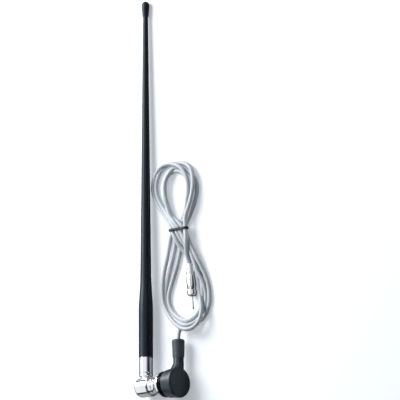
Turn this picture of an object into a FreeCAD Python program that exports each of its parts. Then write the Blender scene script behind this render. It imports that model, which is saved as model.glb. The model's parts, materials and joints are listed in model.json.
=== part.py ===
import FreeCAD, Part
import math
import os

# Car antenna with a rubber mast, a chromed swivel head, a side-fixing base and a lead with an aerial plug.
#
# The antenna is drawn standing on its knuckle: the origin is where the mast's axis crosses the
# base's axis, +X runs along the base from the swivel head to the rear housing, and +Y runs up the mast.
# It is then laid down as it rests on a table, with its tip, the head's far edge and the rear housing
# on z = 0, and its origin is moved to the middle of the footprint of everything but the lead.
# Sizes are in millimetres.

V = FreeCAD.Vector
AXIS_X = V(1, 0, 0)
AXIS_Y = V(0, 1, 0)
AXIS_Z = V(0, 0, 1)

# Fits
thread_gap = 0.05        # between a screwed piece and its hole, on the radius
running_gap = 0.08       # between the pivot screw and the head that turns on it, on the radius
fit_gap = 0.1            # between a piece and the pocket that it sits in
rub_gap = 0.05           # beside the friction washer, so that the head turns
recess_gap = 0.4         # round the pivot screw's head
nut_gap = 0.1            # round the clamp nut's flats
washer_gap = 0.3         # round the earth washer

# Mast
mast_start = 33.0        # from the base's axis to the lower end of the rubber
mast_length = 400.6      # rubber and tip together
grip_radius = 7.95
grip_length = 50.0
shoulder_length = 42.0
taper_start_radius = 6.05
taper_end_radius = 2.8
grip_edge_radius = 0.7
rod_radius = 1.5
tip_ball_radius = 4.2
tip_rim_radius = 3.4
tip_length = 17.0
tip_socket_depth = 9.0

# Ferrule and its stud
ferrule_radius = 7.75
ferrule_edge = 0.6
spigot_radius = 4.4
spigot_length = 22.0
spigot_barb = 0.5
spigot_barb_count = 4
spigot_barb_pitch = 4.8
rod_socket_depth = 26.0
stud_radius = 2.5
stud_in_head = 8.0
stud_in_ferrule = 10.0
stud_hole_rest = 0.5

# Swivel head
head_radius = 11.0
head_reach = 9.5         # from the mast's axis to the far end
head_face = 9.7          # from the mast's axis to the face that rubs on the base
head_end_round = 3.6
head_face_round = 0.8
neck_radius = 5.6
collar_start = 11.8
collar_end = 15.6
collar_radius = 7.9
collar_edge = 0.5
screw_recess_depth = 5.5

# Pivot screw, its washer and the friction washer
pivot_radius = 3.0
pivot_head_radius = 5.0
pivot_head_height = 3.2
pivot_head_edge = 0.5
pivot_end_chamfer = 0.6
pivot_socket_flats = 4.0
pivot_socket_depth = 2.0
pivot_grip = 12.0        # length of thread in the base
cup_washer_radius = 5.2
cup_washer_thickness = 0.9
cup_washer_lift = 0.4
friction_washer_thickness = 0.6
friction_washer_radius = 7.4

# Chromed base flange
flange_length = 19.3
hub_radius = 9.2
hub_length = 4.4
hub_groove = 0.6
rim_radius = 13.9
rim_width = 3.4
rim_round = 1.1
rim_side = 1.2           # height of the rim's front face
skirt_hollow_along = 1.2
skirt_hollow_in = 1.0
stem_socket_depth = 6.0

# Stem through the panel, its bush and the gasket
stem_radius = 5.0
stem_spigot_radius = 2.0
stem_spigot_length = 1.6
bush_wall = 2.8
bush_seat_depth = 1.4
bush_tail = 1.7
gasket_radius = 14.6
gasket_thickness = 7.4
gasket_round = 0.8
earth_washer_radius = 12.6
earth_washer_bore = 8.4
earth_washer_thickness = 0.7
earth_washer_teeth = 12
earth_tooth_depth = 1.6
earth_tooth_width = 1.7

# Rear housing with its side outlet
housing_length = 16.0
housing_front_radius = 15.6
housing_back_radius = 17.4
housing_front_round = 0.6
housing_back_round = 2.6
nut_flats = 17.0
nut_thickness = 6.0
cavity_radius = 9.6
cavity_depth = 12.4      # from the panel face to the cavity's floor
outlet_offset = 8.5      # the outlet's axis, from the panel face
outlet_drop = 5.5        # the outlet's axis, below the base's axis
outlet_radius = 5.8
outlet_spigot_radius = 4.7
outlet_length = 29.0     # from the base's axis to the boot
outlet_spigot_length = 13.0
outlet_spigot_root = 1.0  # how far the spigot reaches back into the outlet
outlet_bore = 3.6
shoulder_base = 11.0     # where the outlet's shoulder leaves the round housing
shoulder_top = 22.5
shoulder_half_x = 7.4
shoulder_half_z = 9.4
shoulder_rise = 4.0      # the shoulder's foot, above the outlet's axis

# Boot on the outlet
boot_length = 19.9
boot_start_radius = 6.5
boot_end_radius = 7.15
boot_round = 2.0

# Lead, inside the housing
lead_radius = 2.4
lead_end = 21.0          # where the jacket ends, from the base's axis
core_radius = 0.6
core_start = 12.5
crimp_wall = 1.0
crimp_length = 8.0
crimp_start = 23.0
tag_thickness = 0.8
tag_radius = 4.2
tag_tongue_width = 2.0

# Lead, hank and tie on the table
tie_along = 123.2        # from the lead's exit to the tie
tie_across = -0.8
strand_height = 2 * lead_radius
waist_levels = 2         # strands lie on top of each other only at the waist
waist_half_width = 12.6
waist_half_length = 9.0
waist_reach = 13.0       # how far each loop's corner lies beyond the tie
tie_thickness = 1.4
tie_width = 2.9
tie_edge_round = 0.5
loop_points = 13
loop_neck = 0.04         # the share of a drop's outline that is left straight at its narrow end
cut_reach = 140.0        # width of the block that clears the tie's path
arc_share = 0.45         # how much of its shorter run an arc takes
opening_start = 10.0     # from the tie to the near corner of each loop's opening
opening_fullness = 0.5
upper_length = 78.6
upper_half_width = 33.6
upper_lean = -7.2
upper_opening_length = 54.3
upper_opening_half_width = 12.3
lower_length = 115.0
lower_half_width = 36.6
lower_lean = 5.0
lower_opening_length = 90.0
lower_opening_half_width = 19.6

# Route of the lead from its exit to the hank, and of its tail from the tie to the plug, both
# counted from the exit
lead_route = [
    V(0, 0, 0),
    V(0, 7.2, 0),
    V(1.0, 14.2, -1.4),
    V(4.4, 20.2, -3.4),
    V(9.8, 24.4, -5.2),
    V(16.2, 27.0, -6.4),
]
tail_route = [
    V(8.9, 117.5, -2.6),
    V(8.7, 110.0, -2.0),
    V(9.0, 103.0, -3.0),
    V(10.2, 96.6, -4.9),
]
tail_plug_run = 7.5      # the last, straight run into the plug

# Aerial plug at the end of the tail
plug_yaw = 6.0           # from the -Y direction towards +X, in degrees
plug_rear = (12.6, 83.1)  # the end of the crimp, from the exit
plug_rest_gap = 0.1      # between the plug and what it lies on
crimp_tube_radius = 3.1
crimp_tube_length = 8.0
crimp_groove_count = 2
crimp_groove_width = 1.0
crimp_groove_depth = 0.45
crimp_groove_start = 2.2
crimp_groove_pitch = 2.4
rear_ring_radius = 4.5
rear_ring_length = 3.6
rear_ring_round = 0.9
core_tube_radius = 3.2
spring_shell_length = 18.0
spring_shell_end_radius = 4.3
spring_shell_bulge = 5.25
spring_shell_crown = 10.4  # from the shell's rear end to where it is widest
spring_shell_wall = 0.55
spring_shell_slots = 8
spring_shell_slot_width = 1.1
spring_shell_slot_margin = 1.6
plug_collar_radius = 5.3
plug_collar_length = 6.2
plug_collar_round = 1.6
plug_insulator_radius = 2.6
plug_insulator_length = 5.0
plug_pin_radius = 0.8
plug_pin_length = 15.5
plug_pin_tip_radius = 1.1
plug_pin_tip_length = 2.8
plug_pin_end_radius = 0.3


def profile(points):
    """A closed face from (x, radius) points, in the XY plane."""
    corners = [V(x, y, 0) for x, y in points]
    return Part.Face(Part.makePolygon(corners + corners[:1]))


def turned(points):
    """A piece turned about the X axis."""
    return profile(points).revolve(V(0, 0, 0), AXIS_X, 360)


def up_mast(shape):
    """Turns a piece made along +X so that it runs along +Y."""
    turned_shape = shape.copy()
    turned_shape.rotate(V(0, 0, 0), AXIS_Z, 90)
    return turned_shape


def rod(radius, start, length, axis=AXIS_X, offset=V(0, 0, 0)):
    return Part.makeCylinder(radius, length, offset + axis * start, axis)


def hexagon(flats, start, length):
    """A hexagonal bar along X."""
    corner = flats / 2 / math.cos(math.radians(30))
    corners = [V(start, corner * math.cos(math.radians(60 * i)), corner * math.sin(math.radians(60 * i)))
               for i in range(6)]
    return Part.Face(Part.makePolygon(corners + corners[:1])).extrude(AXIS_X * length)


def circles_at(shape, x, radius, tolerance=0.01):
    """The round edges of a turned piece at one place on its axis."""
    found = []
    for edge in shape.Edges:
        curve = edge.Curve
        if isinstance(curve, Part.Circle) and abs(curve.Radius - radius) < tolerance:
            if abs(curve.Center.x - x) < tolerance:
                found.append(edge)
    return found


def edges_along(shape, axis):
    """The straight edges of a piece that run along one axis."""
    return [edge for edge in shape.Edges
            if isinstance(edge.Curve, Part.Line) and abs(edge.Curve.Direction.dot(axis)) > 0.999]


# Places along the base's axis, each from the one before
hub_start = head_face + friction_washer_thickness
rim_end = hub_start + flange_length
housing_start = rim_end + gasket_thickness
housing_end = housing_start + housing_length
bush_radius = stem_radius + thread_gap + bush_wall
stem_start = rim_end - stem_socket_depth
bush_start = rim_end - bush_seat_depth
bush_end = housing_start + bush_tail
nut_start = bush_end + fit_gap
nut_end = nut_start + nut_thickness
outlet_x = housing_start + outlet_offset
tag_start = outlet_x + core_radius
stem_end = tag_start + stem_spigot_length
outlet_z = -outlet_drop
boot_end = outlet_length + boot_length
mast_end = mast_start + mast_length
jacket_end = mast_end - tip_length
ball_centre = mast_end - tip_ball_radius
screw_floor = -head_reach + screw_recess_depth
spigot_end = mast_start + spigot_length


# Mast

def jacket_outline():
    """The rubber's outer line from its lower end to the tip, as a face with the axis."""
    grip_end = mast_start + grip_length
    taper_start = grip_end + shoulder_length
    low = V(mast_start, grip_radius, 0)
    grip = V(grip_end, grip_radius, 0)
    taper = V(taper_start, taper_start_radius, 0)
    slope = (taper_end_radius - taper_start_radius) / (jacket_end - taper_start)
    top = V(jacket_end, taper_end_radius, 0)
    shoulder = Part.BSplineCurve()
    shoulder.interpolate(Points=[grip, taper], Tangents=[V(1, 0, 0) * shoulder_length,
                                                         V(1, slope, 0) * shoulder_length],
                         TangentFlags=[True, True])
    edges = [
        Part.makeLine(V(mast_start, 0, 0), low),
        Part.makeLine(low, grip),
        shoulder.toShape(),
        Part.makeLine(taper, top),
        Part.makeLine(top, V(jacket_end, 0, 0)),
        Part.makeLine(V(jacket_end, 0, 0), V(mast_start, 0, 0)),
    ]
    return Part.Face(Part.Wire(edges))


def mast_jacket():
    body = jacket_outline().revolve(V(0, 0, 0), AXIS_X, 360)
    body = body.makeFillet(grip_edge_radius, circles_at(body, mast_start, grip_radius))
    pocket = rod(spigot_radius + spigot_barb, mast_start, spigot_length)
    bore = rod(rod_radius + thread_gap, mast_start, jacket_end - mast_start)
    return up_mast(body.cut(pocket).cut(bore))


def tip_cap():
    """The moulded tip: a flared rim that swells into a ball."""
    blend = V(ball_centre, tip_ball_radius, 0)
    rim = V(jacket_end, tip_rim_radius, 0)
    lean = (tip_ball_radius - tip_rim_radius) / (ball_centre - jacket_end)
    side = Part.BSplineCurve()
    run = ball_centre - jacket_end
    side.interpolate(Points=[rim, blend], Tangents=[V(1, lean / 2, 0) * run, V(1, 0, 0) * run],
                     TangentFlags=[True, True])
    quarter = V(ball_centre + tip_ball_radius * math.sin(math.pi / 4),
                tip_ball_radius * math.cos(math.pi / 4), 0)
    ball = Part.Arc(blend, quarter, V(mast_end, 0, 0)).toShape()
    edges = [
        Part.makeLine(V(jacket_end, 0, 0), rim),
        side.toShape(),
        ball,
        Part.makeLine(V(mast_end, 0, 0), V(jacket_end, 0, 0)),
    ]
    body = Part.Face(Part.Wire(edges)).revolve(V(0, 0, 0), AXIS_X, 360)
    socket = rod(rod_radius + thread_gap, jacket_end, tip_socket_depth)
    return up_mast(body.cut(socket))


def whip_rod():
    start = spigot_end - rod_socket_depth
    return up_mast(rod(rod_radius, start, jacket_end + tip_socket_depth - start))


def mast_ferrule():
    """The sleeve at the mast's foot, with a barbed spigot that holds the rubber."""
    outline = [
        (collar_end, 0), (collar_end, ferrule_radius - ferrule_edge),
        (collar_end + ferrule_edge, ferrule_radius), (mast_start, ferrule_radius),
        (mast_start, spigot_radius),
    ]
    for i in range(spigot_barb_count):
        start = mast_start + (i + 0.5) * spigot_barb_pitch
        outline += [(start, spigot_radius), (start, spigot_radius + spigot_barb),
                    (start + spigot_barb_pitch / 2, spigot_radius)]
    outline += [(spigot_end, spigot_radius), (spigot_end, 0)]
    body = turned(outline)
    stud_hole = rod(stud_radius + thread_gap, collar_end, stud_in_ferrule + stud_hole_rest)
    rod_hole = rod(rod_radius + thread_gap, spigot_end - rod_socket_depth, rod_socket_depth)
    return up_mast(body.cut(stud_hole).cut(rod_hole))


def mast_stud():
    return up_mast(rod(stud_radius, collar_end - stud_in_head, stud_in_head + stud_in_ferrule))


# Swivel

def swivel_head():
    barrel = rod(head_radius, -head_reach, head_reach + head_face)
    barrel = barrel.makeFillet(head_end_round, circles_at(barrel, -head_reach, head_radius))
    barrel = barrel.makeFillet(head_face_round, circles_at(barrel, head_face, head_radius))
    neck = rod(neck_radius, 0, collar_start)
    collar = turned([
        (collar_start, 0), (collar_start, collar_radius - collar_edge),
        (collar_start + collar_edge, collar_radius), (collar_end - collar_edge, collar_radius),
        (collar_end, collar_radius - collar_edge), (collar_end, 0),
    ])
    body = barrel.fuse(up_mast(neck)).fuse(up_mast(collar))
    bore = rod(pivot_radius + running_gap, -head_reach, head_reach + head_face)
    recess = rod(pivot_head_radius + recess_gap, -head_reach, screw_recess_depth)
    stud_hole = rod(stud_radius + thread_gap, collar_end - stud_in_head - stud_hole_rest,
                    stud_in_head + stud_hole_rest)
    return body.cut(bore).cut(recess).cut(up_mast(stud_hole)).removeSplitter()


def pivot_screw():
    head_start = screw_floor - cup_washer_thickness - cup_washer_lift - pivot_head_height
    shank_end = hub_start + pivot_grip
    body = turned([
        (head_start, 0), (head_start, pivot_head_radius - pivot_head_edge),
        (head_start + pivot_head_edge, pivot_head_radius),
        (head_start + pivot_head_height, pivot_head_radius), (head_start + pivot_head_height, pivot_radius),
        (shank_end - pivot_end_chamfer, pivot_radius), (shank_end, pivot_radius - pivot_end_chamfer),
        (shank_end, 0),
    ])
    return body.cut(hexagon(pivot_socket_flats, head_start, pivot_socket_depth))


def cup_washer():
    """The dished spring washer that keeps the swivel tight."""
    inner = pivot_radius + fit_gap
    back = screw_floor - cup_washer_thickness - cup_washer_lift
    return turned([
        (back, inner), (back + cup_washer_thickness, inner), (screw_floor - rub_gap, cup_washer_radius),
        (screw_floor - rub_gap - cup_washer_thickness, cup_washer_radius),
    ])


def friction_washer():
    inner = pivot_radius + fit_gap
    start = head_face + rub_gap
    return turned([
        (start, inner), (hub_start, inner),
        (hub_start, friction_washer_radius), (start, friction_washer_radius),
    ])


# Base

def flare(start, end):
    """The middle of the chromed skirt's hollow arc between two (x, radius) points."""
    return ((start[0] + end[0]) / 2 + skirt_hollow_along, (start[1] + end[1]) / 2 - skirt_hollow_in)


def base_flange():
    hub_end = hub_start + hub_length
    rim_start = rim_end - rim_width
    hub_low = (hub_end + hub_groove, hub_radius - hub_groove)
    skirt = (rim_start, rim_radius - rim_side)
    middle = flare(hub_low, skirt)
    outline = [
        (hub_start, 0), (hub_start, hub_radius - hub_groove), (hub_start + hub_groove, hub_radius),
        (hub_end, hub_radius), hub_low,
    ]
    edges = [Part.makePolygon([V(x, y, 0) for x, y in outline])]
    edges.append(Part.Arc(V(*hub_low, 0), V(*middle, 0), V(*skirt, 0)).toShape())
    corners = [skirt, (rim_start, rim_radius), (rim_end, rim_radius), (rim_end, 0), (hub_start, 0)]
    edges.append(Part.makePolygon([V(x, y, 0) for x, y in corners]))
    wire = Part.Wire([edge for item in edges for edge in item.Edges])
    body = Part.Face(wire).revolve(V(0, 0, 0), AXIS_X, 360)
    body = body.makeFillet(rim_round, circles_at(body, rim_start, rim_radius))
    screw_hole = rod(pivot_radius + thread_gap, hub_start, pivot_grip + thread_gap)
    socket = rod(stem_radius + thread_gap, stem_start, stem_socket_depth)
    seat = rod(bush_radius + fit_gap, bush_start, bush_seat_depth)
    return body.cut(screw_hole).cut(socket).cut(seat)


def threaded_stem():
    """The stem through the panel, stepped down where the solder tag sits."""
    return turned([
        (stem_start, 0), (stem_start, stem_radius), (tag_start, stem_radius),
        (tag_start, stem_spigot_radius), (stem_end, stem_spigot_radius), (stem_end, 0),
    ])


def insulating_bush():
    inner = stem_radius + thread_gap
    return turned([(bush_start, inner), (bush_end, inner), (bush_end, bush_radius), (bush_start, bush_radius)])


def panel_gasket():
    inner = bush_radius + fit_gap
    body = turned([(rim_end, inner), (housing_start, inner), (housing_start, gasket_radius),
                   (rim_end, gasket_radius)])
    edges = circles_at(body, rim_end, gasket_radius) + circles_at(body, housing_start, gasket_radius)
    return body.makeFillet(gasket_round, edges)


def earth_washer():
    """The toothed washer that bites through the panel's paint."""
    ring = turned([
        (housing_start, earth_washer_bore), (housing_start + earth_washer_thickness, earth_washer_bore),
        (housing_start + earth_washer_thickness, earth_washer_radius), (housing_start, earth_washer_radius),
    ])
    gap = Part.makeBox(earth_washer_thickness, earth_tooth_depth, earth_tooth_width,
                       V(housing_start, earth_washer_radius - earth_tooth_depth, -earth_tooth_width / 2))
    gaps = []
    for i in range(earth_washer_teeth):
        copy = gap.copy()
        copy.rotate(V(0, 0, 0), AXIS_X, 360 * i / earth_washer_teeth)
        gaps.append(copy)
    return ring.cut(gaps)


def clamp_nut():
    return hexagon(nut_flats, nut_start, nut_thickness).cut(
        rod(stem_radius + thread_gap, nut_start, nut_thickness))


def outlet_shoulder():
    """The oblique cone that carries the round housing into its side outlet."""
    foot = Part.Ellipse(V(outlet_x, shoulder_base, outlet_z + shoulder_rise), shoulder_half_z,
                        shoulder_half_x)
    foot_edge = foot.toShape()
    foot_edge.rotate(V(outlet_x, shoulder_base, outlet_z + shoulder_rise), AXIS_X, 90)
    foot_edge.rotate(V(outlet_x, shoulder_base, outlet_z + shoulder_rise), AXIS_Y, 90)
    neck = Part.makeCircle(outlet_radius, V(outlet_x, shoulder_top, outlet_z), AXIS_Y)
    return Part.makeLoft([Part.Wire([foot_edge]), Part.Wire([neck])], True, True)


def rear_housing():
    outline = [
        (housing_start, 0), (housing_start, housing_front_radius), (housing_end, housing_back_radius),
        (housing_end, 0),
    ]
    disc = turned(outline)
    disc = disc.makeFillet(housing_back_round, circles_at(disc, housing_end, housing_back_radius))
    disc = disc.makeFillet(housing_front_round, circles_at(disc, housing_start, housing_front_radius))
    place = V(outlet_x, 0, outlet_z)
    neck = rod(outlet_radius, 0, outlet_length, AXIS_Y, place)
    spigot = rod(outlet_spigot_radius, outlet_length - outlet_spigot_root,
                 outlet_spigot_length + outlet_spigot_root, AXIS_Y, place)
    body = disc.fuse(outlet_shoulder()).fuse(neck).fuse(spigot)
    washer_seat = rod(earth_washer_radius + washer_gap, housing_start, earth_washer_thickness)
    bush_bore = rod(bush_radius + fit_gap, housing_start, bush_end + fit_gap - housing_start)
    nut_pocket = hexagon(nut_flats + 2 * nut_gap, nut_start, nut_thickness)
    cavity = rod(cavity_radius, nut_end, housing_start + cavity_depth - nut_end)
    channel = rod(outlet_bore, -outlet_bore, outlet_length + outlet_spigot_length + outlet_bore, AXIS_Y, place)
    for void in (washer_seat, bush_bore, nut_pocket, cavity, channel):
        body = body.cut(void)
    return body.removeSplitter()


def lead_boot():
    """The rubber boot over the outlet, with the lead through its end."""
    body = turned([
        (outlet_length, 0), (outlet_length, boot_start_radius), (boot_end, boot_end_radius), (boot_end, 0),
    ])
    body = body.makeFillet(boot_round, circles_at(body, boot_end, boot_end_radius))
    body = body.cut(rod(outlet_spigot_radius + fit_gap, outlet_length, outlet_spigot_length + fit_gap))
    body = up_mast(body.cut(rod(lead_radius + thread_gap, outlet_length, boot_length)))
    body.translate(V(outlet_x, 0, outlet_z))
    return body


# Inside the housing

def lead_inner():
    """The lead's jacketed end, from inside the housing to the boot's mouth."""
    return rod(lead_radius, lead_end, boot_end - lead_end, AXIS_Y, V(outlet_x, 0, outlet_z))


def lead_core():
    return rod(core_radius, core_start, lead_end - core_start, AXIS_Y, V(outlet_x, 0, outlet_z))


def braid_crimp():
    place = V(outlet_x, 0, outlet_z)
    inner = lead_radius + thread_gap
    ring = rod(inner + crimp_wall, crimp_start, crimp_length, AXIS_Y, place)
    return ring.cut(rod(inner, crimp_start, crimp_length, AXIS_Y, place))


def solder_tag():
    """The tag on the stem's end, with a tongue that reaches the lead's core."""
    ring = rod(tag_radius, tag_start, tag_thickness)
    reach = math.hypot(core_start + tag_tongue_width, outlet_z)
    tongue = Part.makeBox(tag_thickness, reach, tag_tongue_width, V(tag_start, 0, -tag_tongue_width / 2))
    tongue.rotate(V(0, 0, 0), AXIS_X, math.degrees(math.atan2(outlet_z, core_start + tag_tongue_width)))
    hole = rod(stem_spigot_radius + thread_gap, tag_start, tag_thickness)
    return ring.fuse(tongue).cut(hole).removeSplitter()


# Attitude on the table

def round_centre(x, radius, edge_round, inward, slope=0.0):
    """The centre of a rounded lower edge, below the base's axis, on a side that may be tapered."""
    centre_x = x + inward * edge_round
    side = radius + slope * inward * edge_round
    return (centre_x, edge_round * math.hypot(1, slope) - side)


def lying_angle():
    """How far the base's axis climbs towards the housing when both ends touch the table."""
    slope = (housing_back_radius - housing_front_radius) / housing_length
    far_end = round_centre(-head_reach, head_radius, head_end_round, 1)
    edges = (
        (round_centre(housing_start, housing_front_radius, housing_front_round, 1, slope), housing_front_round),
        (round_centre(housing_end, housing_back_radius, housing_back_round, -1, slope), housing_back_round),
    )
    angles = []
    for centre, edge_round in edges:
        across = centre[0] - far_end[0]
        down = centre[1] - far_end[1]
        distance = math.hypot(across, down)
        angles.append(math.asin((edge_round - head_end_round) / distance) - math.atan2(down, across))
    return max(angles)


lie = lying_angle()
far_x, far_z = round_centre(-head_reach, head_radius, head_end_round, 1)
axis_height = head_end_round - (far_x * math.sin(lie) + far_z * math.cos(lie))
mast_pitch = math.asin((axis_height - tip_ball_radius) / (ball_centre * math.cos(lie)))


def lay_down(shape, pitched=False):
    """Lays a drawn piece on the table; a pitched one also follows the mast down to its tip."""
    laid = shape.copy()
    if pitched:
        laid.rotate(V(0, 0, 0), AXIS_X, -math.degrees(mast_pitch))
    laid.rotate(V(0, 0, 0), AXIS_Y, -math.degrees(lie))
    laid.translate(V(0, 0, axis_height))
    return laid


lead_exit = V(outlet_x * math.cos(lie) - outlet_z * math.sin(lie), boot_end,
              axis_height + outlet_x * math.sin(lie) + outlet_z * math.cos(lie))


# Lead on the table

def round_path(points):
    """Straight runs joined by arcs that are as large as the runs beside each corner allow."""
    edges = []
    start = points[0]
    radii = []
    for before, corner, after in zip(points, points[1:], points[2:]):
        back = before - corner
        ahead = after - corner
        turn = math.pi - back.getAngle(ahead)
        cut = arc_share * min(back.Length, ahead.Length)
        radius = cut / math.tan(turn / 2)
        radii.append(radius)
        back.normalize()
        ahead.normalize()
        first = corner + back * cut
        last = corner + ahead * cut
        inner = back + ahead
        inner.normalize()
        middle = corner + inner * (radius / math.cos(turn / 2) - radius)
        edges.append(Part.makeLine(start, first))
        edges.append(Part.Arc(first, middle, last).toShape())
        start = last
    edges.append(Part.makeLine(start, points[-1]))
    print("cord radii", ", ".join("%.1f" % radius for radius in radii))
    return Part.Wire(edges)


def cord_tube(points):
    path = round_path(points)
    direction = points[1] - points[0]
    section = Part.Wire([Part.makeCircle(lead_radius, points[0], direction)])
    tube = path.makePipeShell([section], True, False)
    expected = math.pi * lead_radius ** 2 * path.Length
    print("cord length %.1f, volume ratio %.4f" % (path.Length, tube.Volume / expected))
    return tube


def from_exit(point):
    return lead_exit + point


tie_centre = V(lead_exit.x + tie_across, lead_exit.y + tie_along, 0)
waist_height = waist_levels * strand_height
waist_top = waist_height + tie_thickness


def drop_face(start, length, half_width, fullness, lean, reach, towards):
    """A drop-shaped face that starts near the tie and is widest towards its far end.

    The lean bends the drop's middle line sideways, by the full amount at the loop's reach.
    """
    widest = (1 + fullness) / (2 + fullness)
    full = 2 * widest ** ((1 + fullness) / 2) * math.sqrt(1 - widest)
    points = []
    for i in range(loop_points):
        angle = 2 * math.pi * (loop_neck + (1 - 2 * loop_neck) * i / (loop_points - 1))
        along = start + length * math.sin(angle / 2) ** 2
        across = half_width * math.sin(angle) * math.sin(angle / 2) ** fullness / full
        share = max(along, 0) / reach
        points.append(tie_centre + V(across * towards + lean * share * (2 - share), along * towards, 0))
    curve = Part.BSplineCurve()
    curve.interpolate(points)
    return Part.Face(Part.Wire([curve.toShape(), Part.makeLine(points[-1], points[0])]))


def hank_loop(reach, half_width, lean, opening_length, opening_half_width, towards):
    outer = drop_face(-waist_reach, reach + waist_reach, half_width, 1, lean, reach, towards)
    opening = drop_face(opening_start, opening_length, opening_half_width, opening_fullness, lean, reach,
                        towards)
    return outer.cut(opening).extrude(AXIS_Z * strand_height)


def cable_hank():
    """The outer shape of the coiled lead: two loops that meet in a waist under the tie."""
    upper = hank_loop(upper_length, upper_half_width, upper_lean, upper_opening_length,
                      upper_opening_half_width, 1)
    lower = hank_loop(lower_length, lower_half_width, lower_lean, lower_opening_length,
                      lower_opening_half_width, -1)
    corner = tie_centre - V(waist_half_width, waist_half_length, 0)
    waist = Part.makeBox(2 * waist_half_width, 2 * waist_half_length, waist_top, corner)
    body = upper.fuse(lower).fuse(waist)
    band = Part.makeBox(cut_reach, tie_width, waist_top, tie_centre - V(cut_reach / 2, tie_width / 2, 0))
    kept = Part.makeBox(2 * waist_half_width, tie_width, waist_height,
                        tie_centre + V(-waist_half_width, -tie_width / 2, tie_thickness))
    return body.cut(band.cut(kept)).removeSplitter()


def cable_tie():
    """A flat tie once round the hank's waist."""
    outer_half = waist_half_width + tie_thickness
    corner = tie_centre - V(outer_half, tie_width / 2, 0)
    outer = Part.makeBox(2 * outer_half, tie_width, waist_height + 2 * tie_thickness, corner)
    outer = outer.makeFillet(tie_edge_round, edges_along(outer, AXIS_Y))
    inner = Part.makeBox(2 * waist_half_width, tie_width, waist_height,
                         tie_centre + V(-waist_half_width, -tie_width / 2, tie_thickness))
    return outer.cut(inner)


def lead_on_table():
    return cord_tube([from_exit(point) for point in lead_route])


def tail_on_table():
    points = [from_exit(point) for point in tail_route]
    points += [on_table(Part.Vertex(-run, 0, 0)).Point for run in (tail_plug_run, 0)]
    return cord_tube(points)


# Plug, drawn along +X from the end of the lead to the pin's tip. It lies on the widest part of its
# spring shell, with its pin's tip on the strands.

spring_from = crimp_tube_length + rear_ring_length
spring_crown_x = spring_from + spring_shell_crown
collar_from = spring_from + spring_shell_length
plug_front = collar_from + plug_collar_length
plug_tip = plug_front + plug_pin_length
pin_rise = strand_height + plug_pin_tip_radius - spring_shell_bulge
plug_tilt = math.degrees(math.asin(pin_rise / (plug_tip - plug_pin_tip_length / 2 - spring_crown_x)))


def on_table(shape):
    """Lays a drawn piece of the plug where the plug lies."""
    placed = shape.copy()
    placed.translate(AXIS_X * -spring_crown_x)
    placed.rotate(V(0, 0, 0), AXIS_Y, -plug_tilt)
    placed.translate(V(spring_crown_x, 0, spring_shell_bulge + plug_rest_gap))
    placed.rotate(V(0, 0, 0), AXIS_Z, plug_yaw - 90)
    placed.translate(V(lead_exit.x + plug_rear[0], lead_exit.y + plug_rear[1], 0))
    return placed


def plug_body():
    """Crimp tube, rear ring and core tube, turned in one piece."""
    outline = [(0, 0), (0, crimp_tube_radius)]
    for i in range(crimp_groove_count):
        start = crimp_groove_start + i * crimp_groove_pitch
        low = crimp_tube_radius - crimp_groove_depth
        outline += [(start, crimp_tube_radius), (start, low),
                    (start + crimp_groove_width, low), (start + crimp_groove_width, crimp_tube_radius)]
    outline += [
        (crimp_tube_length, crimp_tube_radius), (crimp_tube_length, rear_ring_radius),
        (spring_from, rear_ring_radius), (spring_from, core_tube_radius),
        (collar_from, core_tube_radius), (collar_from, 0),
    ]
    body = turned(outline)
    body = body.makeFillet(rear_ring_round, circles_at(body, crimp_tube_length, rear_ring_radius))
    pin_hole = rod(plug_pin_radius + thread_gap, collar_from - plug_insulator_length, plug_insulator_length)
    return on_table(body.cut(pin_hole))


def crowned_line(start, crown, end):
    """Two curves that meet level at the crown."""
    line = []
    for foot in (start, end):
        bend = Part.BezierCurve()
        bend.setPoles([foot, V((foot.x + crown.x) / 2, crown.y, 0), crown])
        line.append(bend.toShape())
    return line


def plug_spring():
    """The bulged sleeve, slotted into leaves that grip the socket."""
    end = V(spring_from, spring_shell_end_radius, 0)
    crown = V(spring_crown_x, spring_shell_bulge, 0)
    front = V(collar_from, spring_shell_end_radius, 0)
    inward = V(0, -spring_shell_wall, 0)
    outer = crowned_line(end, crown, front)
    inner = crowned_line(end + inward, crown + inward, front + inward)
    edges = outer + [Part.makeLine(front, front + inward)] + inner + [Part.makeLine(end + inward, end)]
    shell = Part.Face(Part.Wire(Part.__sortEdges__(edges))).revolve(V(0, 0, 0), AXIS_X, 360)
    slot_length = spring_shell_length - 2 * spring_shell_slot_margin
    slot = Part.makeBox(slot_length, spring_shell_slot_width, 2 * spring_shell_bulge,
                        V(spring_from + spring_shell_slot_margin, -spring_shell_slot_width / 2, 0))
    slots = []
    for i in range(spring_shell_slots):
        copy = slot.copy()
        copy.rotate(V(0, 0, 0), AXIS_X, 360 * (i + 0.5) / spring_shell_slots)
        slots.append(copy)
    return on_table(shell.cut(slots))


def plug_collar():
    body = turned([(collar_from, 0), (collar_from, plug_collar_radius), (plug_front, plug_collar_radius),
                   (plug_front, 0)])
    body = body.makeFillet(plug_collar_round, circles_at(body, plug_front, plug_collar_radius))
    seat = rod(plug_insulator_radius + thread_gap, plug_front - plug_insulator_length, plug_insulator_length)
    through = rod(plug_pin_radius + thread_gap, collar_from, plug_collar_length)
    return on_table(body.cut(seat).cut(through))


def plug_insulator():
    start = plug_front - plug_insulator_length
    body = rod(plug_insulator_radius, start, plug_insulator_length)
    return on_table(body.cut(rod(plug_pin_radius + thread_gap, start, plug_insulator_length)))


def plug_pin():
    start = collar_from - plug_insulator_length
    end = plug_front + plug_pin_length
    tip_start = end - plug_pin_tip_length
    swell = plug_pin_tip_radius - plug_pin_radius
    body = turned([
        (start, 0), (start, plug_pin_radius), (tip_start - swell, plug_pin_radius),
        (tip_start, plug_pin_tip_radius), (end - plug_pin_tip_radius, plug_pin_tip_radius),
        (end, plug_pin_end_radius), (end, 0),
    ])
    return on_table(body)


# Every node, each with the way it lies

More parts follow.
